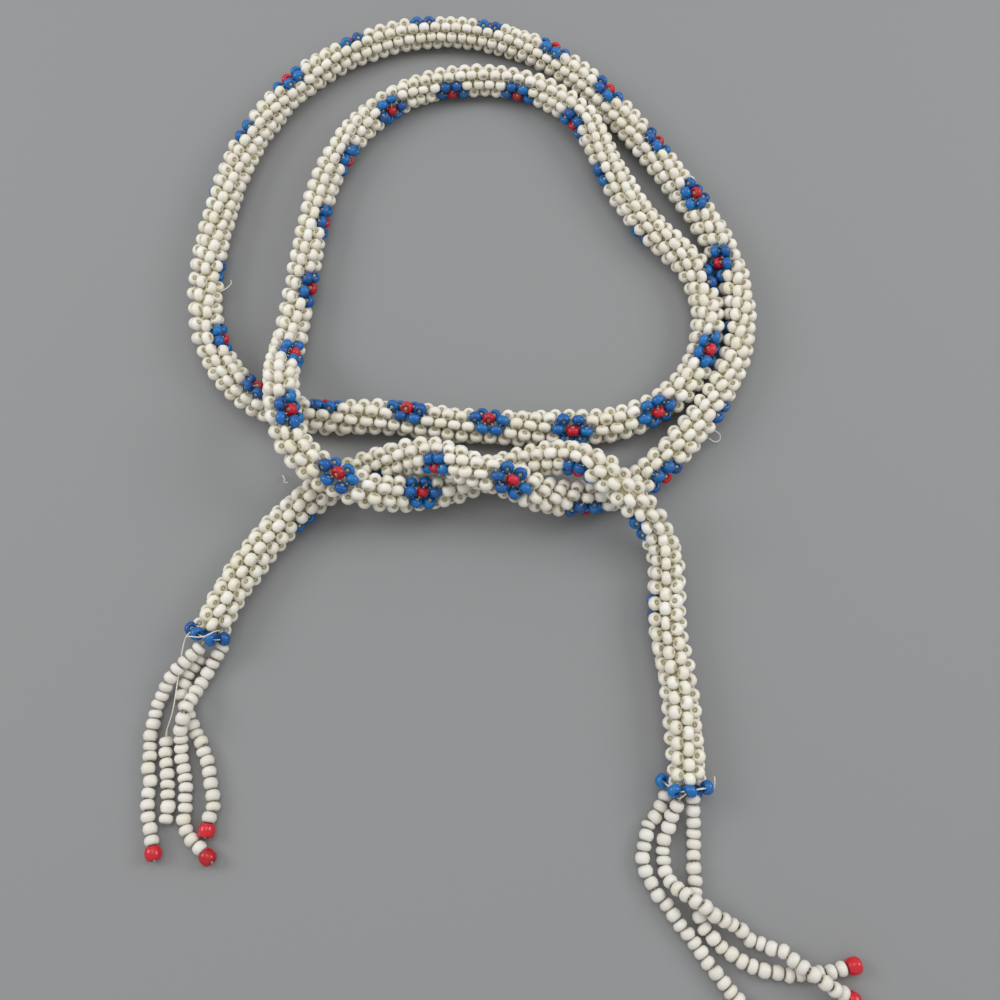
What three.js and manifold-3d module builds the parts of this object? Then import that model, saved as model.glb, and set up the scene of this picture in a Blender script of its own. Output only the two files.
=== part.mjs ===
// Beaded belt: one long bead-crochet rope, tied into two loops and lying flat,
// with a ring of blue beads and a beaded fringe at each end. Millimetres, +Z up.

import * as THREE from 'three';
import { mergeVertices } from 'three/addons/utils/BufferGeometryUtils.js';
import Module from 'manifold-3d';

const wasm = await Module();
wasm.setup();

// Seed beads: the width is across the hole, the length along it
const ROPE_BEAD_WIDTH = 2.95;
const ROPE_BEAD_LENGTH = 2.15;
const FRINGE_BEAD_WIDTH = 2.8;
const TIP_BEAD_WIDTH = 3.2;
const TIP_BEAD_LENGTH = 2.6;
const BEAD_HOLE = 0.9;

// Rope: seven columns of beads stand in a circle round an open channel
const COLUMN_CIRCLE = 5.55;
const BEAD_PITCH = 3.05;
const ROPE_DIAMETER = COLUMN_CIRCLE + ROPE_BEAD_WIDTH;
const CHANNEL_DIAMETER = COLUMN_CIRCLE - ROPE_BEAD_WIDTH;

// End rings: beads on the same circle, every second one half a bead further out
const RING_BEAD_COUNT = 6;
const RING_STAGGER = BEAD_PITCH / 2;

// Touching pieces keep this gap, and so do strands that cross
const SEAT_GAP = 0.3;

// Facets round each section, and steps along each tube
const ROPE_SIDES = 12;
const CHANNEL_SIDES = 8;
const STRAND_SIDES = 8;
const BEAD_SIDES = 10;
const BEAD_BANDS = 4;
const ROPE_STEPS = 80;
const STRAND_STEP = 2.9;

// Finishes
const WHITE_GLASS = { color: 0xe9e3d4, roughness: 0.42, metalness: 0 };
const BLUE_GLASS = { color: 0x155fae, roughness: 0.25, metalness: 0 };
const RED_GLASS = { color: 0xc41a26, roughness: 0.2, metalness: 0 };

// Route of the rope from the left ring round the outer loop, then round the inner
// loop to the right ring. Columns: x, y, and lift, which is 0 where the rope lies
// on the table and 1 where it lies on another pass of itself.
const ROPE_ROUTE = [
  [-55.6, -45.9, 0], [-49, -31.2, 0], [-39.4, -18.2, 0],
  [-26.3, -9.1, 0.06], [-11.3, -7.1, 0.74], [1.7, -13.8, 1.08],
  [14.9, -16.6, 0.31], [30.3, -13.2, 0], [42.9, -3.1, 0.06],
  [52.4, 10, 0], [57.6, 25.4, 0], [56.4, 41.6, 0],
  [50.7, 56.8, 0], [42.8, 70.8, 0], [34.1, 84.5, 0],
  [24.3, 97.3, 0], [11.7, 107.4, 0], [-3.4, 112.8, 0],
  [-19.5, 112.7, 0], [-34.4, 106.8, 0], [-46.8, 96.5, 0],
  [-55.7, 83, 0], [-61, 67.8, 0], [-63.6, 51.9, 0],
  [-64.3, 35.7, 0], [-60.7, 20.1, 0], [-50.5, 7.8, 0],
  [-35.2, 3, 0], [-19.1, 2.9, 0], [-3, 1.2, 0],
  [13.1, 0.9, 0], [29, 2.9, 0], [42.4, 11.6, 0],
  [48.6, 25.9, 0], [46.8, 41.5, 0], [37.5, 54.4, 0],
  [30.2, 68.7, 0], [24, 83.5, 0.12], [12.6, 94.3, 0],
  [-3.1, 97.5, 0], [-18.7, 93.5, 0], [-30.8, 83.1, 0],
  [-38.1, 68.8, 0], [-41.1, 52.9, 0], [-42.8, 36.9, 0],
  [-44.2, 20.9, 0.11], [-43.4, 6.4, 1.03], [-38.4, -8.7, 1.06],
  [-25.7, -16.4, 0.86], [-11.4, -14.5, 0.07], [3.7, -8.9, 0.11],
  [18.2, -7.7, 0.73], [29.1, -16.7, 1.08], [36.9, -26.9, 0.09],
  [36.9, -43, 0], [38.5, -59, 0], [38.9, -75.1, 0],
];

// The rope is one piece; its solid is parted here, as a share of its length
const ROPE_PARTING = 0.5;

// Routes of the fringe strands from their ring to their end, with the same columns.
// A strand with a tip ends at the middle of its red bead.
const STRAND_ROUTES = {
  left_strand_1: {
    tip: 'left_tip_bead_1',
    points: [
      [-56.8, -48.2, 1.09], [-61.6, -53.1, 0.64], [-64.5, -59.1, 0], [-65.1, -66.2, 0],
      [-64.2, -73.2, 0], [-63.7, -80.2, 0], [-61.9, -86.7, 0.06],
    ],
  },
  left_strand_2: {
    tip: 'left_tip_bead_2',
    points: [
      [-56.9, -49.4, 0], [-59.9, -56.3, 0], [-57.1, -62.7, 0], [-53.9, -69.2, 0],
      [-51.8, -76.3, 0], [-52.3, -82.6, 0.07],
    ],
  },
  left_strand_3: {
    tip: 'left_tip_bead_3',
    points: [
      [-53.3, -49, 0.39], [-55.9, -54.3, 0.21], [-58.2, -61.2, 1.12], [-58.7, -67.7, 0.15],
      [-57.1, -74.7, 0], [-56.4, -82.3, 0], [-51.6, -87.4, 0.06],
    ],
  },
  left_strand_4: {
    tip: null,
    points: [
      [-62, -64.7, 0], [-61.7, -68.9, 0], [-60.8, -73, 0], [-60.2, -77.2, 0],
      [-60.2, -81.4, 0],
    ],
  },
  right_strand_1: {
    tip: 'right_tip_bead_1',
    points: [
      [34.9, -76.4, 0.2], [31.3, -82.1, 0], [30.1, -88.8, 0], [33.2, -94.9, 0],
      [37.3, -100.3, 0], [41.2, -106, 0], [45.6, -111.2, 0], [50.3, -116.2, 0.06],
    ],
  },
  right_strand_2: {
    tip: 'right_tip_bead_2',
    points: [
      [36.8, -77.8, 0.9], [34.4, -83.5, 0.14], [34.1, -90.3, 0.07], [38.5, -95, 1.02],
      [43.9, -98.2, 0.54], [49.5, -101.7, 0], [55.3, -104.4, 0.61], [60.3, -108.3, 0.98],
      [66.2, -111.6, 0],
    ],
  },
  right_strand_3: {
    tip: 'right_tip_bead_3',
    points: [
      [39.8, -77.1, 0.63], [39.7, -84.1, 0.05], [39.4, -91.6, 0], [40.3, -98.9, 0],
      [45.6, -104.4, 0], [52.4, -107.2, 0], [59.8, -107.5, 0], [67.2, -106, 0.09],
    ],
  },
};

// Points where each strand starts are this far along its route, clear of the ring
const STRAND_START = 0.9;

const UP = new THREE.Vector3(0, 0, 1);

// A stretch of a smooth line through route points, for a tube of one diameter that
// lies on the table or on another pass. Its section stays upright along the way.
class LyingCurve extends THREE.Curve {
  constructor(route, diameter, startTrim = 0, endTrim = 0) {
    super();
    this.rest = diameter / 2;
    const rise = diameter + SEAT_GAP;
    const points = route.map(([x, y, lift]) => new THREE.Vector3(x, y, this.rest + lift * rise));
    this.line = new THREE.CatmullRomCurve3(points, false, 'catmullrom', 0.5);
    this.line.arcLengthDivisions = route.length * 20;
    this.length = this.line.getLength();
    this.start = startTrim / this.length;
    this.end = 1 - endTrim / this.length;
  }

  getPoint(share, target = new THREE.Vector3()) {
    const along = this.start + share * (this.end - this.start);
    this.line.getPointAt(along, target);
    target.z = Math.max(target.z, this.rest);
    return target;
  }

  computeFrenetFrames(segments) {
    const tangents = [];
    const normals = [];
    const binormals = [];
    for (let i = 0; i <= segments; i++) {
      const tangent = this.getTangentAt(i / segments);
      const side = new THREE.Vector3().crossVectors(UP, tangent).normalize();
      tangents.push(tangent);
      normals.push(side);
      binormals.push(new THREE.Vector3().crossVectors(tangent, side));
    }
    return { tangents, normals, binormals };
  }
}

// Corners of a regular section whose flats, one of them at the bottom, are this wide apart
function flatSection(sides, width) {
  const cornerRadius = width / 2 / Math.cos(Math.PI / sides);
  const corners = [];
  for (let i = 0; i < sides; i++) {
    const angle = ((i + 0.5) * 2 * Math.PI) / sides - Math.PI / 2;
    corners.push(new THREE.Vector2(Math.cos(angle), Math.sin(angle)).multiplyScalar(cornerRadius));
  }
  return corners;
}

// Tube along a lying curve, hollow if it has a channel
function tube(curve, steps, sides, width, channelWidth = 0) {
  const section = new THREE.Shape(flatSection(sides, width));
  if (channelWidth > 0) {
    section.holes.push(new THREE.Path(flatSection(CHANNEL_SIDES, channelWidth)));
  }
  return new THREE.ExtrudeGeometry(section, { extrudePath: curve, steps });
}

// Round bead with flat ends: half its width is flat, and the rest bulges as an
// ellipse. Its hole runs along Y; with no hole it is a solid bead.
function bead(width, length, hole) {
  const flatRadius = width / 4;
  const bulge = width / 2 - flatRadius;
  const profile = [new THREE.Vector2(hole / 2, -length / 2)];
  for (let i = 0; i <= BEAD_BANDS; i++) {
    const angle = -Math.PI / 2 + (i * Math.PI) / BEAD_BANDS;
    const x = flatRadius + bulge * Math.cos(angle);
    profile.push(new THREE.Vector2(x, (length / 2) * Math.sin(angle)));
  }
  profile.push(new THREE.Vector2(hole / 2, length / 2));
  if (hole > 0) profile.push(profile[0].clone());
  return new THREE.LatheGeometry(profile, BEAD_SIDES);
}

// Solid of a closed mesh, with its shared vertices merged and empty triangles left out
function toSolid(geometry) {
  const bare = geometry.clone();
  bare.deleteAttribute('normal');
  bare.deleteAttribute('uv');
  const merged = mergeVertices(bare, 1e-4);
  const source = merged.index.array;
  const kept = [];
  for (let i = 0; i < source.length; i += 3) {
    const [a, b, c] = source.slice(i, i + 3);
    if (a !== b && b !== c && c !== a) kept.push(a, b, c);
  }
  return new wasm.Manifold(new wasm.Mesh({
    numProp: 3,
    vertProperties: merged.attributes.position.array,
    triVerts: new Uint32Array(kept),
  }));
}

// Geometry of a solid, with flat shading
function toGeometry(solid) {
  const mesh = solid.getMesh();
  const geometry = new THREE.BufferGeometry();
  geometry.setAttribute('position', new THREE.BufferAttribute(mesh.vertProperties, 3));
  geometry.setIndex(new THREE.BufferAttribute(mesh.triVerts, 1));
  geometry.computeVertexNormals();
  return geometry;
}

// Named mesh with its finish
function piece(name, geometry, finish) {
  const mesh = new THREE.Mesh(geometry, new THREE.MeshStandardMaterial(finish));
  mesh.name = name;
  return mesh;
}

// Half the rope: a hollow tube between two distances along the route
function ropeHalf(name, startTrim, endTrim) {
  const curve = new LyingCurve(ROPE_ROUTE, ROPE_DIAMETER, startTrim, endTrim);
  const geometry = tube(curve, ROPE_STEPS, ROPE_SIDES, ROPE_DIAMETER, CHANNEL_DIAMETER);
  return piece(name, geometry, WHITE_GLASS);
}

// Straight stretch of thread between two bead centres
function threadBetween(from, to) {
  const length = from.distanceTo(to);
  const cylinder = new THREE.CylinderGeometry(BEAD_HOLE / 2, BEAD_HOLE / 2, length, STRAND_SIDES);
  const direction = new THREE.Vector3().subVectors(to, from).normalize();
  const turn = new THREE.Quaternion().setFromUnitVectors(new THREE.Vector3(0, 1, 0), direction);
  const middle = new THREE.Vector3().addVectors(from, to).multiplyScalar(0.5);
  return cylinder.applyQuaternion(turn).translate(middle.x, middle.y, middle.z);
}

// Last round of the rope: blue beads threaded on a zigzag ring
function endRing(name, centre, outward) {
  const side = new THREE.Vector3().crossVectors(UP, outward).normalize();
  const centres = [];
  const parts = [];
  for (let place = 0; place < RING_BEAD_COUNT; place++) {
    const angle = (place * 2 * Math.PI) / RING_BEAD_COUNT;
    const radial = new THREE.Vector3().addScaledVector(side, Math.cos(angle));
    radial.addScaledVector(UP, Math.sin(angle));
    const round = new THREE.Vector3().crossVectors(outward, radial);
    const shift = (place % 2 === 0 ? -0.5 : 0.5) * RING_STAGGER;
    const at = centre.clone().addScaledVector(radial, COLUMN_CIRCLE / 2);
    at.addScaledVector(outward, shift);
    const basis = new THREE.Matrix4().makeBasis(outward, round, radial.clone().negate());
    const solidBead = bead(ROPE_BEAD_WIDTH, ROPE_BEAD_LENGTH, 0);
    parts.push(toSolid(solidBead.applyMatrix4(basis.setPosition(at))));
    centres.push(at);
  }
  centres.forEach((at, i) => {
    parts.push(toSolid(threadBetween(at, centres[(i + 1) % RING_BEAD_COUNT])));
  });
  return piece(name, toGeometry(parts.reduce((joined, part) => joined.add(part))), BLUE_GLASS);
}

// One fringe strand with its red tip bead, if it has one
function fringeStrand(name, { tip, points }) {
  const endTrim = tip ? TIP_BEAD_LENGTH / 2 + SEAT_GAP : 0;
  const curve = new LyingCurve(points, FRINGE_BEAD_WIDTH, STRAND_START, endTrim);
  const steps = Math.round(curve.length / STRAND_STEP);
  const strand = piece(name, tube(curve, steps, STRAND_SIDES, FRINGE_BEAD_WIDTH), WHITE_GLASS);
  return tip ? [strand, tipBead(tip, curve, points)] : [strand];
}

// Red bead at a strand's end, lying on the table with its hole in line with the strand
function tipBead(name, curve, points) {
  const [x, y] = points[points.length - 1];
  const mesh = piece(name, bead(TIP_BEAD_WIDTH, TIP_BEAD_LENGTH, BEAD_HOLE), RED_GLASS);
  const along = curve.getTangentAt(1).setZ(0).normalize();
  mesh.quaternion.setFromUnitVectors(new THREE.Vector3(0, 1, 0), along);
  mesh.position.set(x, y, TIP_BEAD_WIDTH / 2);
  return mesh;
}

const whole = new LyingCurve(ROPE_ROUTE, ROPE_DIAMETER);
const ringHalf = RING_STAGGER / 2 + ROPE_BEAD_WIDTH / 2 + SEAT_GAP;
const firstLength = whole.length * ROPE_PARTING;

const belt = new THREE.Group();
belt.add(ropeHalf('rope_outer_turn', ringHalf, whole.length - firstLength + SEAT_GAP / 2));
belt.add(ropeHalf('rope_inner_turn', firstLength + SEAT_GAP / 2, ringHalf));
belt.add(endRing('left_end_ring', whole.getPointAt(0), whole.getTangentAt(0).negate()));
belt.add(endRing('right_end_ring', whole.getPointAt(1), whole.getTangentAt(1)));
for (const [name, strand] of Object.entries(STRAND_ROUTES)) {
  belt.add(...fringeStrand(name, strand));
}

// The middle of the footprint stands on the origin
const box = new THREE.Box3().setFromObject(belt, true);
const middle = box.getCenter(new THREE.Vector3());
belt.position.set(-middle.x, -middle.y, -box.min.z);

export default belt;
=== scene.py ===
"""Looks of a bead-crochet belt: its seed beads, stitches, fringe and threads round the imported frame."""

import math

import bpy
import numpy as np
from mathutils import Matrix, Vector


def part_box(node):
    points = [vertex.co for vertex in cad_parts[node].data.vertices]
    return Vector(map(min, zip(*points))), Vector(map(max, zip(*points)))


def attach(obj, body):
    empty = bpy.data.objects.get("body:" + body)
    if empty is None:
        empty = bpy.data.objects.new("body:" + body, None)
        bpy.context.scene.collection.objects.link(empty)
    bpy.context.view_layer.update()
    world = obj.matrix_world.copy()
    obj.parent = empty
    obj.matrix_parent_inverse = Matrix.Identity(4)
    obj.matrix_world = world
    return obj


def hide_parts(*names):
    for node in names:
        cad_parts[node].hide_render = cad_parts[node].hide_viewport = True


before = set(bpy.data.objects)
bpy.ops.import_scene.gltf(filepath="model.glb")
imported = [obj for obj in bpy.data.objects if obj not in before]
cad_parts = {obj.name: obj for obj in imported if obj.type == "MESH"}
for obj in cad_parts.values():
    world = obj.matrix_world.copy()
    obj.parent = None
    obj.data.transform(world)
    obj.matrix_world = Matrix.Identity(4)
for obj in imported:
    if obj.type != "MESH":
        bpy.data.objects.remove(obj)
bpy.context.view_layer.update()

# One random stream, so that every run gives the same belt
random = np.random.default_rng(21)

# Everything below is worked out in millimetres, and meshes are stored in metres
MM = 0.001
UP = np.array([0.0, 0.0, 1.0])

# Seed beads: the width is across the hole, the length along it
ROPE_BEAD_WIDTH = 2.95
ROPE_BEAD_LENGTH = 2.05
FRINGE_BEAD_WIDTH = 2.8
FRINGE_BEAD_PITCH = 2.04
TIP_BEAD_WIDTH = 3.2
TIP_BEAD_LENGTH = 2.6
BEAD_HOLE = 0.9

# Rope: seven columns of beads in a circle. The beads nest into each other, so they
# stand a little inside the solid rope.
COLUMN_COUNT = 7
COLUMN_RADIUS = 2.62
BEAD_PITCH = 3.05
ROPE_DIAMETER = 8.5
NESTING = 0.2
ROW_COUNT = 294
ROWS = np.arange(1, ROW_COUNT - 1)
SEAT_GAP = 0.3

# Share of a pitch by which each column stands further on. The string of beads runs round
# the rope as one spiral that takes in every second column.
COLUMN_OFFSETS = np.arange(COLUMN_COUNT) * ((COLUMN_COUNT + 1) // 2) % COLUMN_COUNT / COLUMN_COUNT

# Threads
STITCH_RADIUS = 0.13
LOOSE_THREAD_RADIUS = 0.12
HOLE_THREAD_RADIUS = 0.42
STRAND_THREAD_RADIUS = 0.24
SLEEVE_RADIUS = 1.5
SLEEVE_WALL = 0.3
SLEEVE_END = 1.6
SLEEVE_SIDES = 12
SLEEVE_STEPS = 420

# Unevenness of the rope's beads: normal spreads, in degrees about the outward and the
# column's axis, as shares of a size, and in mm along the column and outwards
OUTWARD_TURN_SPREAD = 7.0
COLUMN_TURN_SPREAD = 8.0
WIDTH_SPREAD = 0.022
LENGTH_SPREAD = 0.06
HEIGHT_SPREAD = 0.015
SLIDE_SPREAD = 0.07
JUT_SPREAD = 0.09

# Least and greatest share of its width that a rope bead keeps where rows crowd or part
CROWDED_WIDTH = 0.9
PARTED_WIDTH = 1.02

# Unevenness of the fringe's beads, in the same way, and how they fill their strand
STRAND_LENGTH_SPREAD = 0.13
STRAND_TURN_SPREAD = 6
STRAND_WIDTH_SHARE = 1.03
STRAND_WIDTH_SPREAD = 0.02
STRAND_SLIDE_SPREAD = 0.12
STRAND_FILL = 0.98
STRAND_THREAD_BEFORE = 1.2
STRAND_THREAD_AFTER = 1.4
STRAND_THREAD_STEPS = 60

# Stitches: how far from a bead's centre they leave it, as a share of its length, how far
# they lean to the next bead, and how far their middle is pushed outwards
STITCH_START = 0.38
STITCH_LEAN = 0.25
STITCH_BULGE = 0.5
STITCH_BULGE_SPREAD = 0.15
STITCH_STEPS = 5
HOLE_THREAD_REACH = 0.36

# Direction is taken between points this far before and after a place on a line
TANGENT_REACH = 0.6

# Steps of the chart in rows, how many steps and how many mm are eased together, how much
# further the rope turns after its last charted flower, and its bare end after the last row
CHART_STEP = 0.25
CHART_EASING = 13
SETTLING_EASING = 9
LAST_TURN = 40
ROW_END_GAP = 0.2

# The thread stain and painted shade round a bead's hole fade out from here inwards, as shares of half its
# width
SHADE_EDGE = 0.6
SHADE_FADE = 0.3

# Route of the rope from the left ring round the outer loop, then round the inner
# loop to the right ring. Columns: x, y, and lift, which is 0 where the rope lies
# on the table and 1 where it lies on another pass of itself. The points are the
# rounded result of a fit to centre lines that were traced.
ROPE_ROUTE = [
    [-55.6, -45.9, 0], [-49, -31.2, 0], [-39.4, -18.2, 0],
    [-26.3, -9.1, 0.06], [-11.3, -7.1, 0.74], [1.7, -13.8, 1.08],
    [14.9, -16.6, 0.31], [30.3, -13.2, 0], [42.9, -3.1, 0.06],
    [52.4, 10, 0], [57.6, 25.4, 0], [56.4, 41.6, 0],
    [50.7, 56.8, 0], [42.8, 70.8, 0], [34.1, 84.5, 0],
    [24.3, 97.3, 0], [11.7, 107.4, 0], [-3.4, 112.8, 0],
    [-19.5, 112.7, 0], [-34.4, 106.8, 0], [-46.8, 96.5, 0],
    [-55.7, 83, 0], [-61, 67.8, 0], [-63.6, 51.9, 0],
    [-64.3, 35.7, 0], [-60.7, 20.1, 0], [-50.5, 7.8, 0],
    [-35.2, 3, 0], [-19.1, 2.9, 0], [-3, 1.2, 0],
    [13.1, 0.9, 0], [29, 2.9, 0], [42.4, 11.6, 0],
    [48.6, 25.9, 0], [46.8, 41.5, 0], [37.5, 54.4, 0],
    [30.2, 68.7, 0], [24, 83.5, 0.12], [12.6, 94.3, 0],
    [-3.1, 97.5, 0], [-18.7, 93.5, 0], [-30.8, 83.1, 0],
    [-38.1, 68.8, 0], [-41.1, 52.9, 0], [-42.8, 36.9, 0],
    [-44.2, 20.9, 0.11], [-43.4, 6.4, 1.03], [-38.4, -8.7, 1.06],
    [-25.7, -16.4, 0.86], [-11.4, -14.5, 0.07], [3.7, -8.9, 0.11],
    [18.2, -7.7, 0.73], [29.1, -16.7, 1.08], [36.9, -26.9, 0.09],
    [36.9, -43, 0], [38.5, -59, 0], [38.9, -75.1, 0],
]

# Routes of the fringe strands from their ring to their end, with the same columns,
# fitted to traced lines in the same way
STRAND_ROUTES = {
    "left_strand_1": [
        [-56.8, -48.2, 1.09], [-61.6, -53.1, 0.64], [-64.5, -59.1, 0], [-65.1, -66.2, 0],
        [-64.2, -73.2, 0], [-63.7, -80.2, 0], [-61.9, -86.7, 0.06],
    ],
    "left_strand_2": [
        [-56.9, -49.4, 0], [-59.9, -56.3, 0], [-57.1, -62.7, 0], [-53.9, -69.2, 0],
        [-51.8, -76.3, 0], [-52.3, -82.6, 0.07],
    ],
    "left_strand_3": [
        [-53.3, -49, 0.39], [-55.9, -54.3, 0.21], [-58.2, -61.2, 1.12], [-58.7, -67.7, 0.15],
        [-57.1, -74.7, 0], [-56.4, -82.3, 0], [-51.6, -87.4, 0.06],
    ],
    "left_strand_4": [
        [-62, -64.7, 0], [-61.7, -68.9, 0], [-60.8, -73, 0], [-60.2, -77.2, 0],
        [-60.2, -81.4, 0],
    ],
    "right_strand_1": [
        [34.9, -76.4, 0.2], [31.3, -82.1, 0], [30.1, -88.8, 0], [33.2, -94.9, 0],
        [37.3, -100.3, 0], [41.2, -106, 0], [45.6, -111.2, 0], [50.3, -116.2, 0.06],
    ],
    "right_strand_2": [
        [36.8, -77.8, 0.9], [34.4, -83.5, 0.14], [34.1, -90.3, 0.07], [38.5, -95, 1.02],
        [43.9, -98.2, 0.54], [49.5, -101.7, 0], [55.3, -104.4, 0.61], [60.3, -108.3, 0.98],
        [66.2, -111.6, 0],
    ],
    "right_strand_3": [
        [39.8, -77.1, 0.63], [39.7, -84.1, 0.05], [39.4, -91.6, 0], [40.3, -98.9, 0],
        [45.6, -104.4, 0], [52.4, -107.2, 0], [59.8, -107.5, 0], [67.2, -106, 0.09],
    ],
}

# Where a strand's first bead starts on its route: before 0 it hangs on the ring
STRAND_STARTS = {
    "left_strand_1": -1.0,
    "left_strand_2": -0.5,
    "left_strand_3": -2.6,
    "left_strand_4": 0.3,
    "right_strand_1": -1.0,
    "right_strand_2": -0.5,
    "right_strand_3": -1.0,
}

# Red bead at a strand's end
STRAND_TIPS = {
    "left_strand_1": "left_tip_bead_1",
    "left_strand_2": "left_tip_bead_2",
    "left_strand_3": "left_tip_bead_3",
    "right_strand_1": "right_tip_bead_1",
    "right_strand_2": "right_tip_bead_2",
    "right_strand_3": "right_tip_bead_3",
}

# How the beads lie beside the routes, since real passes touch and press each
# other, while the solids keep a gap. Columns: distance along the rope, shift to
# the left, both in mm, and share of the full width that the pressed rope keeps.
SETTLING = [
    [0, 0, 0.92], [44, -0.3, 1], [56, -1.2, 1], [63, -1.7, 1], [72, -1.7, 1],
    [80, -0.6, 1], [86, 0, 1], [118, 0.1, 1], [130, 0.7, 0.97], [140, 0.8, 0.94],
    [155, 0.4, 0.91], [170, 0.3, 0.91], [186, 0.1, 0.97], [200, 0, 1], [426, 0, 1],
    [436, 0.5, 1], [445, 0.5, 1], [456, 0.1, 1], [488, -0.2, 1], [500, -1, 0.98],
    [510, -1.3, 0.95], [524, -1.4, 0.93], [538, -1.4, 0.92], [548, -0.8, 0.95], [560, 0, 1],
    [690, 0, 0.92],
    [715, 0.4, 0.96], [728, 0.1, 1], [741, 0.5, 1], [750, 0, 1], [800, 0, 1],
    [808, -0.9, 0.97], [816, -1.5, 0.93], [834, -1.5, 0.88], [842, -1, 0.88], [852, -0.2, 0.94],
    [866, 0, 1],
    [900, 0, 0.95],
]

# Blue beads strung round each end of the rope. Columns: x, y and height in mm,
# and the direction of the hole as x, y and z shares. The places were read off
# and projected at a guessed height.
RING_BEADS = {
    "left": [
        [-58.5, -44.1, 4.6, 0.3, -0.2, 0.9], [-57.0, -45.5, 5.9, 0.7, -0.5, 0.6],
        [-54.1, -46.7, 6.0, 0.9, -0.3, 0.2], [-51.9, -46.2, 4.4, 0.8, 0.3, -0.5],
        [-53.2, -45.0, 1.8, -0.9, 0.3, -0.2], [-56.2, -43.9, 1.7, -0.9, 0.4, 0.2],
    ],
    "right": [
        [34.2, -73.6, 3.2, 0.45, -0.1, 0.9], [36.0, -75.8, 5.8, 0.4, -0.75, 0.5],
        [38.9, -75.8, 6.3, 0.8, 0.55, 0.1], [42.4, -75.0, 4.5, 0.9, 0.2, -0.3],
        [40.9, -75.6, 1.9, -0.9, 0.1, -0.3], [37.0, -75.2, 1.7, -0.9, 0.1, 0.3],
    ],
}

# Where each flower that shows lies. Columns: flower number, distance of its red
# bead along the rope in mm, and degrees round the rope from its left side over
# the top. Hidden flowers follow from their neighbours, and turns add up. The first
# values were fitted to beads placed one by one, and most were corrected after that.
FLOWER_CHART = [
    [0, 32, 260], [2, 68.5, 180], [3, 83.5, 95], [4, 101.7, 229], [5, 119.2, 186],
    [6, 139, 231], [7, 159, 295], [8, 178, 381], [9, 197.2, 471], [10, 215, 517],
    [11, 234.2, 495], [12, 252.7, 506], [13, 270.2, 531], [14, 286.7, 538], [15, 305.3, 534],
    [16, 324.2, 500], [17, 342.7, 542], [19, 380.3, 637], [20, 401, 714], [21, 418.2, 746],
    [22, 435, 720], [23, 453.5, 780], [24, 471.3, 792], [25, 489.2, 855], [26, 507.3, 856],
    [27, 525.4, 842], [29, 562, 986], [30, 579.9, 1033], [31, 597, 1062], [32, 616.2, 1057],
    [33, 634, 1049], [34, 651.6, 1102], [35, 669.7, 1045], [36, 689.4, 1052],
    [37, 709, 1079], [38, 730.4, 1109], [39, 749.2, 1122], [40, 768.2, 1162],
    [41, 786, 1192], [43, 824, 1294], [44, 845.3, 1323], [45, 864.5, 1338],
]
FLOWER_ROWS = 6
FIRST_FLOWER_ROW = 11
LAST_FLOWER_ROW = 281

WHITE, BLUE, RED = 0, 1, 2

# Loose and bare threads. Columns: x, y and height in mm, read off and projected
# at a guessed height.
THREAD_ROUTES = {
    "left_ring_loop": [
        [-52.4, -45.0, 6.4], [-53.1, -45.6, 7.8], [-54.4, -46.6, 8.5], [-55.9, -46.8, 8.2],
        [-57.9, -46.4, 7.2], [-58.9, -46.2, 6.0],
    ],
    "left_bare_thread": [
        [-57.7, -45.0, 5.6], [-58.0, -45.3, 6.6], [-58.8, -46.2, 6.6], [-59.4, -47.0, 5.6],
        [-60.0, -49.2, 4.5], [-60.5, -54.2, 3.4], [-60.9, -60.1, 3.0], [-62.1, -64.1, 1.6],
        [-61.9, -65.6, 1.4],
    ],
    "right_ring_drop": [
        [43.9, -73.0, 4.8], [43.9, -73.8, 4.8], [43.8, -74.8, 4.5], [43.2, -76.0, 3.6],
    ],
    "right_ring_stitch_1": [
        [39.4, -75.9, 5.6], [39.9, -75.7, 6.6], [41.6, -75.4, 6.0], [42.2, -75.1, 4.8],
    ],
    "right_ring_stitch_2": [
        [36.1, -76.5, 4.8], [36.9, -77.1, 5.4], [37.9, -76.5, 6.4], [38.5, -76.0, 6.6],
    ],
    "right_ring_stitch_3": [
        [34.5, -74.0, 3.6], [34.8, -74.5, 4.6], [35.4, -74.9, 5.8], [35.8, -75.4, 6.2],
    ],
    "outer_turn_stray_loop": [
        [48.6, -0.9, 2.4], [50.0, -1.3, 1.4], [51.2, -0.8, 1.1], [51.2, 0.2, 1.9], [50.0, 0.8, 2.7],
    ],
    "crossing_stray_end": [
        [-41.6, -12.6, 5.2], [-42.9, -11.4, 2.6], [-43.3, -9.9, 0.9], [-43.9, -8.9, 0.5],
    ],
    "far_side_stray_end": [
        [-60.9, 35.4, 3.9], [-59.7, 36.5, 3.7], [-59.0, 38.2, 2.9], [-59.3, 39.6, 2.4],
    ],
}

# Camera: the picture's own tilt, lens and aim
CAMERA_ELEVATION = 68
CAMERA_DISTANCE = 221.05
CAMERA_TARGET = [3.2, -16.2, 4.25]
CAMERA_LENS = 37.8
SENSOR_WIDTH = 36

# Lamps. Columns: place and side in metres, and power in watts
LAMPS = {
    "left_lamp": [(-0.55, 0.08, 0.42), 0.3, 1.3],
    "right_lamp": [(0.55, 0.12, 0.42), 0.3, 1.3],
    "top_lamp": [(0.0, 0.25, 0.8), 0.5, 1.2],
}
SURROUND_STRENGTH = 0.6

# Half the floor's side, in metres
FLOOR_HALF = 4.0


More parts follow.
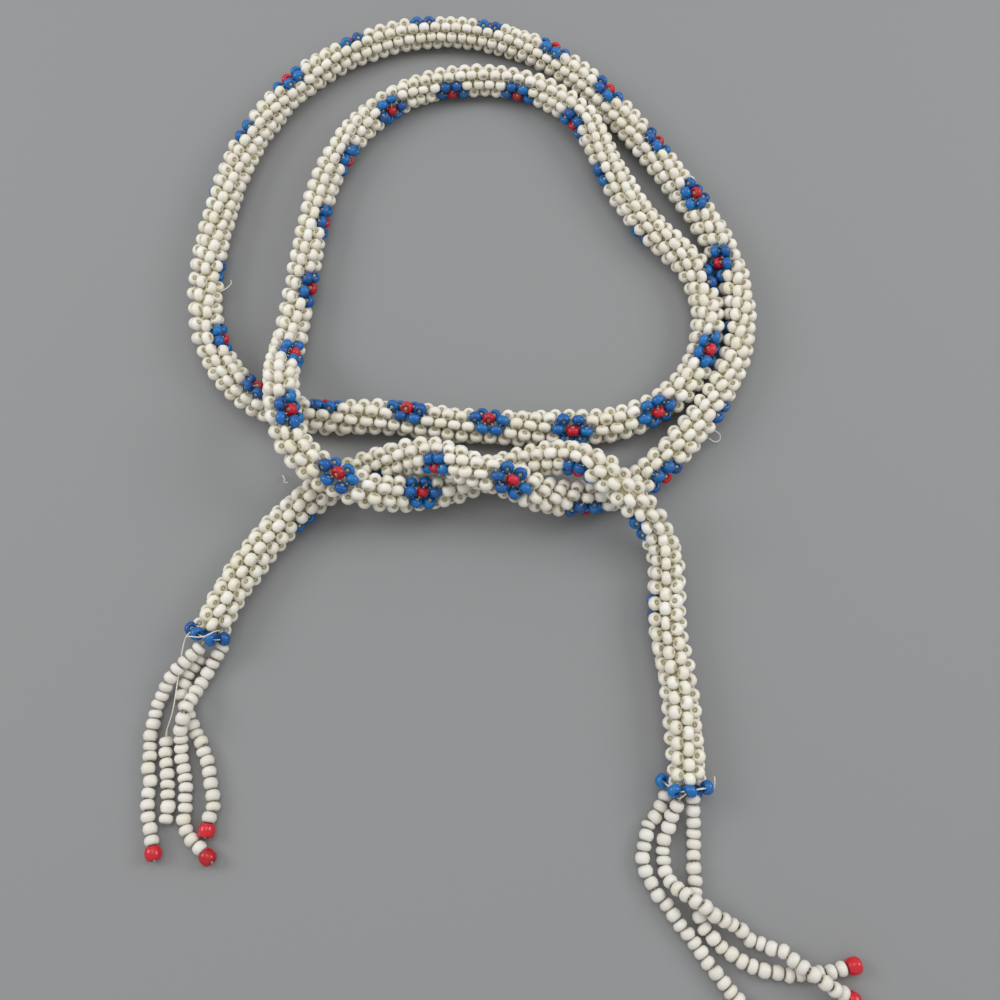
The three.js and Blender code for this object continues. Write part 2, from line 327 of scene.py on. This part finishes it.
def smooth_line(points, steps=40):
    """Uniform Catmull-Rom line: between two points, the cubic whose slope at each point is half
    the step between that point's two neighbours. An end point's missing neighbour is the mirror
    image of the one that it has."""
    points = np.array(points, float)
    ends = np.vstack([2 * points[0] - points[1], points, 2 * points[-1] - points[-2]])
    a, b, c, d = ends[:-3, None], ends[1:-2, None], ends[2:-1, None], ends[3:, None]
    t = np.linspace(0, 1, steps, endpoint=False)[None, :, None]
    bend = 2 * a - 5 * b + 4 * c - d
    twist = 3 * b - a - 3 * c + d
    line = b + 0.5 * ((c - a) * t + bend * t**2 + twist * t**3)
    return np.vstack([line.reshape(-1, 3), points[-1]])


def belt_shift():
    """How far the frame moved the belt from its route's own origin, seen on one tip bead."""
    low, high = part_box("left_tip_bead_1")
    middle = np.array(low + high) / 2 / MM
    x, y, _ = STRAND_ROUTES["left_strand_1"][-1]
    return np.array([middle[0] - x, middle[1] - y, 0.0])


SHIFT = belt_shift()


class Line:
    """Centre line of something round that lies on the table or on another pass: the smooth line
    through its route, at half a diameter plus the lift, and never lower than half a diameter."""

    def __init__(self, route, diameter):
        route = np.array(route, float)
        rest = diameter / 2
        route[:, 2] = rest + route[:, 2] * (diameter + SEAT_GAP)
        points = smooth_line(route)
        points[:, 2] = np.maximum(points[:, 2], rest)
        self.points = points + SHIFT
        steps = np.linalg.norm(np.diff(points, axis=0), axis=1)
        self.distances = np.concatenate([[0], np.cumsum(steps)])
        self.length = self.distances[-1]

    def at(self, distance):
        """Points at these distances, straight on past each end."""
        inside = np.clip(distance, 0, self.length)
        point = np.stack([np.interp(inside, self.distances, self.points[:, i]) for i in range(3)], -1)
        first = unit(self.points[1] - self.points[0])
        last = unit(self.points[-1] - self.points[-2])
        before = np.minimum(distance, 0)[..., None] * first
        after = np.maximum(distance - self.length, 0)[..., None] * last
        return point + before + after

    def frames(self, distance):
        """Point, direction, level left side and upper side at these distances."""
        along = unit(self.at(distance + TANGENT_REACH) - self.at(distance - TANGENT_REACH))
        side = unit(np.cross(UP, along))
        return self.at(distance), along, side, np.cross(along, side)


def unit(vectors):
    """Vectors of length one."""
    return vectors / np.linalg.norm(vectors, axis=-1, keepdims=True)


def eased(values, width):
    """Running mean of the values under a raised-cosine window this many values wide."""
    window = np.hanning(width + 2)[1:-1]
    padded = np.pad(values, width // 2, mode="reflect", reflect_type="odd")
    return np.convolve(padded, window / window.sum(), mode="valid")[: len(values)]


rope = Line(ROPE_ROUTE, ROPE_DIAMETER)
row_start = -BEAD_PITCH * COLUMN_OFFSETS.mean()
row_end = rope.length - ROW_END_GAP


def settled(distance):
    """Middle of the ring of beads at these distances, and its two half axes as shares of the
    column radius: the side one is shortened where passes press each other."""
    shift = np.interp(distance, SETTLED_AT, SETTLED_SHIFT)
    width = np.interp(distance, SETTLED_AT, SETTLED_WIDTH)
    middle, _, side, up = rope.frames(distance)
    return middle + shift[:, None] * side - NESTING * UP, width[:, None] * side, up


settling = np.array(SETTLING, float).T
SETTLED_AT = np.arange(0.0, settling[0, -1] + 1)
SETTLED_SHIFT = eased(np.interp(SETTLED_AT, settling[0], settling[1]), SETTLING_EASING)
SETTLED_WIDTH = eased(np.interp(SETTLED_AT, settling[0], settling[2]), SETTLING_EASING)


def row_chart():
    """Distance and angle of the flower column at every quarter row: straight lines between the
    charted flowers, which are a fixed number of rows apart, and then eased over three rows."""
    chart = np.array(FLOWER_CHART, float)
    rows = FIRST_FLOWER_ROW + FLOWER_ROWS * chart[:, 0]
    last_row = ROW_COUNT - 1
    rows = np.concatenate([[0], rows, [last_row]])
    distances = np.concatenate([[row_start], chart[:, 1], [row_end]])
    angles = np.concatenate([[chart[0, 2]], chart[:, 2], [chart[-1, 2] + LAST_TURN]])
    fine = np.arange(0, ROW_COUNT, CHART_STEP)
    return (
        fine,
        eased(np.interp(fine, rows, distances), CHART_EASING),
        np.radians(eased(np.interp(fine, rows, angles), CHART_EASING)),
    )


CHART_ROWS, CHART_DISTANCES, CHART_ANGLES = row_chart()


def column_colours(column):
    """Colour of each bead of one column. Once every six rows the flower column has a red bead
    between two blue ones, and each neighbouring column has the two blue beads beside the red."""
    place = (ROWS - FIRST_FLOWER_ROW) % FLOWER_ROWS
    colours = np.full(len(ROWS), WHITE)
    if column == 0:
        colours[(place == 1) | (place == FLOWER_ROWS - 1)] = BLUE
        colours[place == 0] = RED
    elif column in (1, COLUMN_COUNT - 1):
        colours[(place == 0) | (place == FLOWER_ROWS - 1)] = BLUE
    colours[(ROWS < FIRST_FLOWER_ROW - 1) | (ROWS > LAST_FLOWER_ROW + 1)] = WHITE
    return colours


def turned(axes, angles, about):
    """The copies' axes turned about one of their own axes: the other two mix by the angle's
    cosine and sine."""
    first, second = [(1, 2), (2, 0), (0, 1)][about]
    cos = np.cos(angles)[..., None]
    sin = np.sin(angles)[..., None]
    mixed = axes.copy()
    mixed[..., first, :] = cos * axes[..., first, :] + sin * axes[..., second, :]
    mixed[..., second, :] = cos * axes[..., second, :] - sin * axes[..., first, :]
    return mixed


def rope_beads():
    """Every bead of the rope between its end rings, column by column: its centre, its three axes
    (along the column, along the hole, outwards), its three sizes, colour and distance along the
    rope. A bead's centre stands on the column circle, and its hole lies round the rope, square
    to the column."""
    centres, axes, sizes, colours, distances = [], [], [], [], []
    for column in range(COLUMN_COUNT):
        row = ROWS + COLUMN_OFFSETS[column]
        distance = np.interp(row, CHART_ROWS, CHART_DISTANCES)
        angle = np.interp(row, CHART_ROWS, CHART_ANGLES) + column * 2 * math.pi / COLUMN_COUNT
        middle, side, up = settled(distance)
        outward = np.cos(angle)[:, None] * side + np.sin(angle)[:, None] * up
        centre = middle + COLUMN_RADIUS * outward
        outward = unit(outward)
        step = np.gradient(centre, axis=0)
        spacing = np.linalg.norm(step, axis=1)
        hole = unit(np.cross(outward, step))
        along = np.cross(hole, outward)
        frame_axes = np.stack([along, hole, outward], axis=1)
        for about, spread in ((2, OUTWARD_TURN_SPREAD), (0, COLUMN_TURN_SPREAD)):
            frame_axes = turned(frame_axes, np.radians(random.normal(0, spread, len(row))), about)
        room = np.clip(spacing / BEAD_PITCH, CROWDED_WIDTH, PARTED_WIDTH)
        width = ROPE_BEAD_WIDTH * room * random.normal(1, WIDTH_SPREAD, len(row))
        length = ROPE_BEAD_LENGTH * random.normal(1, LENGTH_SPREAD, len(row))
        centre += random.normal(0, SLIDE_SPREAD, len(row))[:, None] * along
        centre += random.normal(0, JUT_SPREAD, len(row))[:, None] * outward
        height = width * random.normal(1, HEIGHT_SPREAD, len(row))
        centre[:, 2] = np.maximum(centre[:, 2], np.maximum(width, height) / 2)
        centres.append(centre)
        axes.append(frame_axes)
        sizes.append(np.stack([width, length, height], axis=1))
        colours.append(column_colours(column))
        distances.append(distance)
    return tuple(np.array(part) for part in (centres, axes, sizes, colours, distances))


# Half of a bead's outline. Columns: share of half the width and share of half the
# length, from the hole's wall over the face and the shoulder to the middle.
BEAD_OUTLINE = [[BEAD_HOLE / ROPE_BEAD_WIDTH, 0.66], [0.5, 0.98], [0.85, 0.66]]
BEAD_SIDES = 12
TIP_OUTLINE = [[0.3, 0.62], [0.38, 0.86], [0.55, 1.0], [0.75, 0.93], [0.9, 0.7], [0.98, 0.36]]
TIP_SIDES = 24


def bead_form(outline, sides):
    """A bead of width and length one, with its hole along Y: the outline, its mirror image and
    the middle point between them, turned about Y, and closed by the wall of the hole. The third
    array is 1 at the hole, falling to 0 at the shoulder."""
    half = np.array(outline)
    ring = np.vstack([half, [[1.0, 0.0]], half[::-1] * [1, -1]]) / 2
    turn = np.arange(sides) * 2 * math.pi / sides
    count = len(ring)
    corners = np.stack([
        ring[:, :1] * np.cos(turn),
        np.repeat(ring[:, 1:], sides, axis=1),
        ring[:, :1] * np.sin(turn),
    ], axis=-1).reshape(-1, 3)
    i, j = np.meshgrid(np.arange(count), np.arange(sides), indexing="ij")
    after, beside = (i + 1) % count, (j + 1) % sides
    faces = np.stack([i * sides + j, i * sides + beside, after * sides + beside, after * sides + j], -1)
    # Weight of the thread stain and painted shade round the hole
    nearness = np.clip((SHADE_EDGE - 2 * ring[:, 0]) / SHADE_FADE, 0, 1)
    return corners, faces.reshape(-1, 4), np.repeat(nearness, sides)


BEAD = bead_form(BEAD_OUTLINE, BEAD_SIDES)
TIP_BEAD = bead_form(TIP_OUTLINE, TIP_SIDES)


def scatter(form, centres, axes, sizes):
    """Copies of a form: each corner times the copy's sizes, turned to its axes and moved to its
    centre. Also each corner's nearness to the hole and its bead's own tone, from 0 to 1."""
    corners, faces, nearness = form
    placed = centres[:, None] + np.einsum("nj,kj,kjx->knx", corners, sizes, axes)
    numbered = faces[None] + len(corners) * np.arange(len(centres))[:, None, None]
    marks = {
        "hole_shade": np.tile(nearness, len(centres)),
        "tone": np.repeat(random.random(len(centres)), len(corners)),
    }
    return placed.reshape(-1, 3), [numbered.reshape(-1, faces.shape[1])], marks


def tubes(paths, radius, sides, lean):
    """Closed tubes along many lines with the same number of points: round each point stands a
    ring square to its line, counted from the side that the leaning direction gives, and each
    end is closed by one face."""
    count, points, _ = paths.shape
    along = unit(np.gradient(paths, axis=1))
    side = unit(np.cross(np.broadcast_to(lean, along.shape), along))
    up = np.cross(along, side)
    turn = np.arange(sides) * 2 * math.pi / sides
    ring = np.cos(turn)[:, None] * side[:, :, None] + np.sin(turn)[:, None] * up[:, :, None]
    corners = paths[:, :, None] + radius * ring
    number = np.arange(count * points * sides).reshape(count, points, sides)
    beside = np.roll(number, -1, axis=2)
    walls = np.stack([number[:, :-1], beside[:, :-1], beside[:, 1:], number[:, 1:]], -1)
    caps = np.concatenate([number[:, 0, ::-1], number[:, -1]])
    return corners.reshape(-1, 3), [walls.reshape(-1, 4), caps], {}


def joined(parts):
    """Several sets of corners, faces and marks as one."""
    corners = np.concatenate([part[0] for part in parts])
    starts = np.cumsum([0] + [len(part[0]) for part in parts[:-1]])
    faces = [rows + start for part, start in zip(parts, starts) for rows in part[1]]
    marks = {name: np.concatenate([part[2][name] for part in parts]) for name in parts[0][2]}
    return corners, faces, marks


def make_piece(name, shape, material, replaces=()):
    """One smooth mesh piece from corners in millimetres, arrays of faces and corner marks."""
    corners, face_sets, marks = shape
    sizes = np.concatenate([np.full(len(rows), rows.shape[1]) for rows in face_sets])
    loops = np.concatenate([rows.ravel() for rows in face_sets])
    mesh = bpy.data.meshes.new(name)
    mesh.vertices.add(len(corners))
    mesh.vertices.foreach_set("co", (corners * MM).ravel())
    mesh.loops.add(len(loops))
    mesh.loops.foreach_set("vertex_index", loops)
    mesh.polygons.add(len(sizes))
    mesh.polygons.foreach_set("loop_start", np.cumsum(sizes) - sizes)
    mesh.polygons.foreach_set("use_smooth", np.ones(len(sizes), bool))
    for mark, values in marks.items():
        mesh.attributes.new(mark, "FLOAT", "POINT").data.foreach_set("value", values)
    mesh.update(calc_edges=True)
    mesh.validate()
    mesh.materials.append(material)
    piece = bpy.data.objects.new(name, mesh)
    bpy.context.scene.collection.objects.link(piece)
    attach(piece, "root")
    if replaces:
        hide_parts(*replaces)
    return piece


def linear(colour):
    """Linear red, green and blue of an sRGB hex colour, with alpha 1."""
    shares = [int(colour[i:i + 2], 16) / 255 for i in (1, 3, 5)]
    return [s / 12.92 if s <= 0.04045 else ((s + 0.055) / 1.055) ** 2.4 for s in shares] + [1.0]


def add(tree, kind, inputs=None, **settings):
    """A node with its settings and its inputs, which are values or other nodes' outputs."""
    node = tree.nodes.new(kind)
    for name, value in settings.items():
        setattr(node, name, value)
    for socket, value in (inputs or {}).items():
        if isinstance(value, bpy.types.NodeSocket):
            tree.links.new(value, node.inputs[socket])
        else:
            node.inputs[socket].default_value = value
    return node


def new_material(name):
    """An empty material with its output and a shader, and the object's coordinates."""
    material = bpy.data.materials.new(name)
    material.use_nodes = True
    tree = material.node_tree
    tree.nodes.clear()
    shader = add(tree, "ShaderNodeBsdfPrincipled")
    add(tree, "ShaderNodeOutputMaterial", {"Surface": shader.outputs["BSDF"]})
    place = add(tree, "ShaderNodeTexCoord").outputs["Object"]
    return material, tree, shader, place


def mixed(tree, share, first, second, mode="MIX"):
    """Output of a colour mix of two colours or outputs."""
    node = add(tree, "ShaderNodeMix", data_type="RGBA", blend_type=mode)
    for socket, value in ((0, share), (6, first), (7, second)):
        if isinstance(value, bpy.types.NodeSocket):
            tree.links.new(value, node.inputs[socket])
        else:
            node.inputs[socket].default_value = value
    return node.outputs[2]


def opaque_glass(name, tones, hole_stain_and_shade_colour, hole_share, roughness, dimple):
    """Opaque pressed and tumbled glass: dense colour a little different from bead to bead, with
    a colour painted round the hole, which is thread stain and painted shade on pale glass and
    painted shade on coloured glass, and a faint orange-peel surface. It gives a clear but soft
    highlight, sharper where the glass is glossy."""
    material, tree, shader, place = new_material(name)
    tone = add(tree, "ShaderNodeAttribute", attribute_name="tone").outputs["Fac"]
    ramp = add(tree, "ShaderNodeValToRGB", {"Fac": tone})
    ramp.color_ramp.elements[0].color = linear(tones[0])
    ramp.color_ramp.elements[1].color = linear(tones[-1])
    for i, colour in enumerate(tones[1:-1], 1):
        ramp.color_ramp.elements.new(i / (len(tones) - 1)).color = linear(colour)
    # Clouding inside the glass, about 1 mm across
    cloud = add(tree, "ShaderNodeTexNoise", {"Vector": place, "Scale": 1000, "Detail": 2.0})
    clouded = mixed(tree, 0.18, ramp.outputs["Color"], cloud.outputs["Fac"], "OVERLAY")
    # Painted shade of the hole, with thread stain on pale glass, mixed in where the hole_shade mark is
    # high
    shade = add(tree, "ShaderNodeAttribute", attribute_name="hole_shade").outputs["Fac"]
    amount = add(tree, "ShaderNodeMath", {0: shade, 1: hole_share}, operation="MULTIPLY")
    colour = mixed(tree, amount.outputs[0], clouded, linear(hole_stain_and_shade_colour))
    tree.links.new(colour, shader.inputs["Base Color"])
    # Orange peel with dimples of 0.4 mm, drawn coarse enough to show
    peel = add(tree, "ShaderNodeTexNoise", {"Vector": place, "Scale": 2500, "Detail": 1.0})
    bump = add(tree, "ShaderNodeBump", {
        "Height": peel.outputs["Fac"], "Strength": dimple, "Distance": 0.00006,
    })
    tree.links.new(bump.outputs["Normal"], shader.inputs["Normal"])
    shader.inputs["Roughness"].default_value = roughness
    shader.inputs["IOR"].default_value = 1.52
    return material


def spun_thread(name, pale, dark, roughness=0.75):
    """Waxed cotton thread: two plies that show as fine slanting stripes of light and shade, with
    a little fuzz at the edges."""
    material, tree, shader, place = new_material(name)
    # Plies 0.35 mm apart, with uneven dye 3 mm long
    ply = add(tree, "ShaderNodeTexWave", {
        "Vector": place, "Scale": 900, "Distortion": 3.0, "Detail": 1.0,
    }, wave_type="BANDS", bands_direction="DIAGONAL")
    dye = add(tree, "ShaderNodeTexNoise", {"Vector": place, "Scale": 330, "Detail": 2.0})
    striped = mixed(tree, ply.outputs["Fac"], linear(dark), linear(pale))
    colour = mixed(tree, dye.outputs["Fac"], striped, linear(pale))
    tree.links.new(colour, shader.inputs["Base Color"])
    bump = add(tree, "ShaderNodeBump", {
        "Height": ply.outputs["Fac"], "Strength": 0.6, "Distance": 0.00008,
    })
    tree.links.new(bump.outputs["Normal"], shader.inputs["Normal"])
    shader.inputs["Roughness"].default_value = roughness
    shader.inputs["Sheen Weight"].default_value = 0.25
    return material


# Hole colours: the khaki on the ivory and grey-white glass is thread stain and painted shade, and the
# dark blue and dark red are painted shade
ivory_glass = opaque_glass(
    "opaque_ivory_glass",
    ["#e9e3d0", "#f1ede2", "#ebe4d9", "#ebe8d7", "#f4f1ea"],
    hole_stain_and_shade_colour="#bfb690", hole_share=0.6, roughness=0.36, dimple=0.25,
)
grey_white_glass = opaque_glass(
    "opaque_grey_white_glass",
    ["#dedbd0", "#e8e5dd", "#e5dfd7", "#e2dfd0"],
    hole_stain_and_shade_colour="#a09773", hole_share=0.6, roughness=0.4, dimple=0.25,
)
blue_glass = opaque_glass(
    "opaque_blue_glass",
    ["#055097", "#0966b0", "#0d72bb"],
    hole_stain_and_shade_colour="#052c58", hole_share=0.6, roughness=0.2, dimple=0.15,
)
red_glass = opaque_glass(
    "opaque_red_glass",
    ["#b5101c", "#c9182a", "#d2202e"],
    hole_stain_and_shade_colour="#5a0610", hole_share=0.6, roughness=0.17, dimple=0.15,
)
white_thread = spun_thread("waxed_white_thread", "#f1ecdd", "#cfc6a8")
aged_thread = spun_thread("aged_tan_thread", "#d3caa6", "#ab9f76")
# The inner thread is a little darker than the aged thread: painted shade of the gaps between the columns
shaded_thread = spun_thread("shaded_inner_thread", "#cfc5a0", "#a3966c")


def ring_beads(places):
    """Centres, axes and sizes of the beads of an end ring, each turned to its own hole."""
    hole = unit(places[:, 3:])
    first = unit(np.cross(hole, [0.3, 1, 0.2]))
    axes = np.stack([first, hole, np.cross(first, hole)], axis=1)
    sizes = np.tile([ROPE_BEAD_WIDTH, ROPE_BEAD_LENGTH, ROPE_BEAD_WIDTH], (len(places), 1))
    return places[:, :3] + SHIFT, axes, sizes


def build_rope():
    """The rope's beads by colour and turn, and its two end rings."""
    centres, axes, sizes, colours, distances = BEADS
    outer = distances < rope.length / 2
    finishes = {
        WHITE: ("white_beads", ivory_glass),
        BLUE: ("blue_beads", blue_glass),
        RED: ("red_beads", red_glass),
    }
    for turn, on_turn in (("outer_turn", outer), ("inner_turn", ~outer)):
        for colour, (slot, material) in finishes.items():
            chosen = on_turn & (colours == colour)
            shape = scatter(BEAD, centres[chosen], axes[chosen], sizes[chosen])
            replaced = [f"rope_{turn}"] if colour == WHITE else []
            make_piece(f"{turn}_{slot}", shape, material, replaced)
    for side, places in RING_BEADS.items():
        shape = scatter(BEAD, *ring_beads(np.array(places)))
        make_piece(f"{side}_ring_blue_beads", shape, blue_glass, [f"{side}_end_ring"])


def stitch_paths():
    """Stitches from each bead's hole to the holes of the two nearest beads of the next column:
    a curve of three ends (hole, a point pushed outwards half way, hole), as a quadratic Bezier."""
    centres, axes, sizes, _, distances = BEADS
    t = np.linspace(0, 1, STITCH_STEPS)[:, None]
    paths, places = [], []
    for column in range(COLUMN_COUNT):
        following = (column + 1) % COLUMN_COUNT
        rising = COLUMN_OFFSETS[following] > COLUMN_OFFSETS[column]
        for step in (-1, 0) if rising else (0, 1):
            rows = np.arange(max(-step, 0), len(ROWS) - max(step, 0))
            here, there = (column, rows), (following, rows + step)
            start = centres[here] + STITCH_START * sizes[here][:, 1:2] * axes[here][:, 1]
            end = centres[there] - STITCH_START * sizes[there][:, 1:2] * axes[there][:, 1]
            lean = STITCH_LEAN * unit(centres[there] - centres[here])
            start, end = start + lean, end - lean
            outward = unit(axes[here][:, 2] + axes[there][:, 2])
            push = STITCH_BULGE + random.normal(0, STITCH_BULGE_SPREAD, len(rows))[:, None]
            middle = (start + end) / 2 + push * outward
            first, second, third = start[:, None], middle[:, None], end[:, None]
            paths.append((1 - t) ** 2 * first + 2 * t * (1 - t) * second + t**2 * third)
            places.append(distances[here])
    return np.concatenate(paths), np.concatenate(places)


def build_stitches():
    """White stitches between the columns, and the aged thread that fills each bead's hole."""
    centres, axes, sizes, _, distances = BEADS
    paths, places = stitch_paths()
    reach = HOLE_THREAD_REACH * sizes[..., 1:2] * axes[..., 1, :]
    cores = np.stack([centres - reach, centres + reach], axis=2)
    for turn, sign in (("outer_turn", 1), ("inner_turn", -1)):
        chosen = sign * places < sign * rope.length / 2
        lean = unit(paths[chosen][:, 2:3] - rope.at(places[chosen])[:, None])
        make_piece(f"{turn}_stitches", tubes(paths[chosen], STITCH_RADIUS, 4, lean), white_thread)
        chosen = sign * distances < sign * rope.length / 2
        lean = axes[chosen][:, None, 2]
        fillings = tubes(cores[chosen], HOLE_THREAD_RADIUS, 6, lean)
        make_piece(f"{turn}_hole_threads", fillings, aged_thread)


def build_sleeve():
    """The net of thread inside the columns: a tube with a wall along the whole rope. Its rings
    run out along the outer radius and back along the inner one, so that it closes on itself."""
    distance = np.linspace(SLEEVE_END, rope.length - SLEEVE_END, SLEEVE_STEPS)
    middle, side, up = settled(distance)
    turn = np.arange(SLEEVE_SIDES) * 2 * math.pi / SLEEVE_SIDES
    ring = np.cos(turn)[:, None] * side[:, None] + np.sin(turn)[:, None] * up[:, None]
    outer = middle[:, None] + SLEEVE_RADIUS * ring
    inner = middle[:, None] + (SLEEVE_RADIUS - SLEEVE_WALL) * ring
    corners = np.concatenate([outer, inner[::-1]])
    number = np.arange(corners.shape[0] * SLEEVE_SIDES).reshape(-1, SLEEVE_SIDES)
    after = np.roll(number, -1, axis=0)
    faces = np.stack([number, np.roll(number, -1, axis=1), np.roll(after, -1, axis=1), after], -1)
    make_piece("rope_thread_sleeve", (corners.reshape(-1, 3), [faces.reshape(-1, 4)], {}), shaded_thread)


def strand_beads(name, line):
    """Beads of one strand: uneven lengths that add up to the strand's, each with its hole along
    the line, a little tilted and off centre, and none below the table."""
    tip_room = TIP_BEAD_LENGTH / 2 if name in STRAND_TIPS else 0
    start = STRAND_STARTS[name]
    room = line.length - start - tip_room
    count = round(room / FRINGE_BEAD_PITCH)
    steps = random.normal(1, STRAND_LENGTH_SPREAD, count)
    steps *= room / steps.sum()
    distance = start + np.cumsum(steps) - steps / 2
    centre, along, side, up = line.frames(distance)
    axes = np.stack([up, along, side], axis=1)
    for about in (0, 2):
        axes = turned(axes, np.radians(random.normal(0, STRAND_TURN_SPREAD, count)), about)
    width = FRINGE_BEAD_WIDTH * random.normal(STRAND_WIDTH_SHARE, STRAND_WIDTH_SPREAD, count)
    centre = centre + random.normal(0, STRAND_SLIDE_SPREAD, count)[:, None] * side
    centre[:, 2] = np.maximum(centre[:, 2], width / 2)
    return scatter(BEAD, centre, axes, np.stack([width, steps * STRAND_FILL, width], axis=1))


def build_fringe():
    """The strands of white beads, each replacing its own solid, and the threads inside them."""
    threads = []
    for name, route in STRAND_ROUTES.items():
        line = Line(route, FRINGE_BEAD_WIDTH)
        make_piece(f"{name}_beads", strand_beads(name, line), grey_white_glass, [name])
        first = STRAND_STARTS[name] - STRAND_THREAD_BEFORE
        last = line.length + STRAND_THREAD_AFTER * (name in STRAND_TIPS)
        path = line.at(np.linspace(first, last, STRAND_THREAD_STEPS))
        path[:, 2] = np.maximum(path[:, 2], FRINGE_BEAD_WIDTH / 2)
        threads.append(tubes(path[None], STRAND_THREAD_RADIUS, 6, UP))
    make_piece("fringe_threads", joined(threads), aged_thread)


def build_tips():
    """The red beads at the strands' ends, in line with them and resting on the table."""
    for name, node in STRAND_TIPS.items():
        line = Line(STRAND_ROUTES[name], FRINGE_BEAD_WIDTH)
        low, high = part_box(node)
        middle = np.array(low + high) / 2 / MM
        along = line.frames(np.array([line.length - TIP_BEAD_LENGTH / 2]))[1][0]
        along = unit(along * [1, 1, 0])
        axes = np.stack([UP, along, np.cross(UP, along)])
        sizes = np.array([[TIP_BEAD_WIDTH, TIP_BEAD_LENGTH, TIP_BEAD_WIDTH]])
        shape = scatter(TIP_BEAD, middle[None], axes[None], sizes)
        make_piece(f"{node}_glass", shape, red_glass, [node])


def build_loose_threads():
    """Loops and ends of white thread that stand off the beads, and the thread through each end
    ring's beads, which comes back to its first bead."""
    threads = []
    for places in RING_BEADS.values():
        centres = np.array(places + places[:1])[:, :3]
        threads.append(tubes(smooth_line(centres, 8)[None] + SHIFT, STITCH_RADIUS, 6, UP))
    for route in THREAD_ROUTES.values():
        threads.append(tubes(smooth_line(route, 8)[None] + SHIFT, LOOSE_THREAD_RADIUS, 6, UP))
    make_piece("loose_threads", joined(threads), white_thread)


def build_stage():
    """A plain pale floor, far wider than the belt."""
    turns = [(-1, -1), (1, -1), (1, 1), (-1, 1)]
    corners = [(x * FLOOR_HALF, y * FLOOR_HALF, 0) for x, y in turns]
    mesh = bpy.data.meshes.new("floor")
    mesh.from_pydata(corners, [], [(0, 1, 2, 3)])
    material, _, shader, _ = new_material("pale_matt_board")
    shader.inputs["Base Color"].default_value = linear("#8f9091")
    shader.inputs["Roughness"].default_value = 0.9
    mesh.materials.append(material)
    floor = bpy.data.objects.new("floor", mesh)
    bpy.context.scene.collection.objects.link(floor)


def soft_light(name, place, size, power):
    """A square lamp at this place in metres, facing the belt's middle."""
    lamp = bpy.data.lights.new(name, "AREA")
    lamp.size = size
    lamp.energy = power
    lamp_object = bpy.data.objects.new(name, lamp)
    lamp_object.location = place
    lamp_object.rotation_mode = "QUATERNION"
    direction = -lamp_object.location
    lamp_object.rotation_quaternion = direction.to_track_quat("-Z", "Y")
    bpy.context.scene.collection.objects.link(lamp_object)


def build_lights():
    """Two soft lamps, left and right, a weaker one overhead, and a pale surround."""
    for name, (place, size, power) in LAMPS.items():
        soft_light(name, place, size, power)
    world = bpy.data.worlds.new("pale_surround")
    world.use_nodes = True
    background = world.node_tree.nodes["Background"]
    background.inputs["Color"].default_value = (1, 1, 1, 1)
    background.inputs["Strength"].default_value = SURROUND_STRENGTH
    bpy.context.scene.world = world
    bpy.context.scene.view_settings.view_transform = "Standard"


def build_camera():
    """The camera at the picture's angle: it looks along +Y and down, from its distance."""
    tilt = math.radians(CAMERA_ELEVATION)
    forward = np.array([0, math.cos(tilt), -math.sin(tilt)])
    target = np.array(CAMERA_TARGET) + SHIFT
    camera = bpy.data.cameras.new("camera")
    camera.lens = CAMERA_LENS
    camera.sensor_width = SENSOR_WIDTH
    camera.clip_start = 0.01
    holder = bpy.data.objects.new("camera", camera)
    holder.location = (target - forward * CAMERA_DISTANCE) * MM
    holder.rotation_euler = (math.pi / 2 - tilt, 0, 0)
    bpy.context.scene.collection.objects.link(holder)
    bpy.context.scene.camera = holder


build_camera()
build_lights()
build_stage()
BEADS = rope_beads()
build_rope()
build_stitches()
build_sleeve()
build_fringe()
build_tips()
build_loose_threads()
